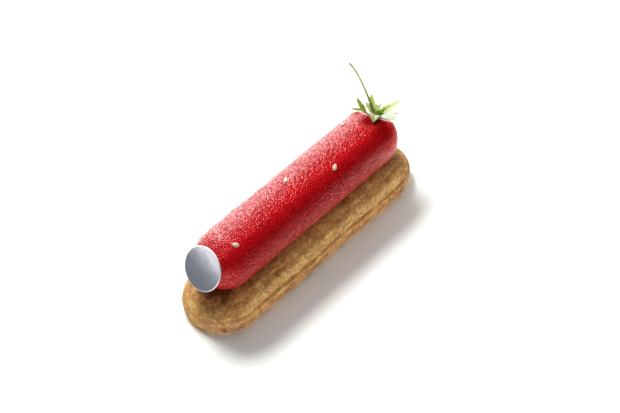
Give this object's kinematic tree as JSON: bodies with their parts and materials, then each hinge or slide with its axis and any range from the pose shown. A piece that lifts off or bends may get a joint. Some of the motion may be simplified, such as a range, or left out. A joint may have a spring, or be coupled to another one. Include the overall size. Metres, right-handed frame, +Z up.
{
  "type": "eclair",
  "caption": "Choux eclair carrying a rounded red strawberry mousse bar with scattered seeds, a plain silver disc at one end and a green calyx with its stalk at the other.",
  "frame": {"origin": "middle of the choux's flat foot", "axes": "+X along the eclair towards the calyx, +Z up out of the flat foot"},
  "size_m": [0.14, 0.036, 0.0622],
  "materials": {
    "baked_choux": "matt golden-brown baked crust",
    "red_glaze": "glossy red, finely pebbled",
    "silver_lustre": "silver lustre on a pale disc",
    "green_leaf": "fresh yellow-green leaf"
  },
  "bodies": {
    "root": {"choux": "baked_choux", "mousse_bar": "red_glaze", "silver_disc": "silver_lustre", "calyx": "green_leaf"}
  },
  "joints": []
}
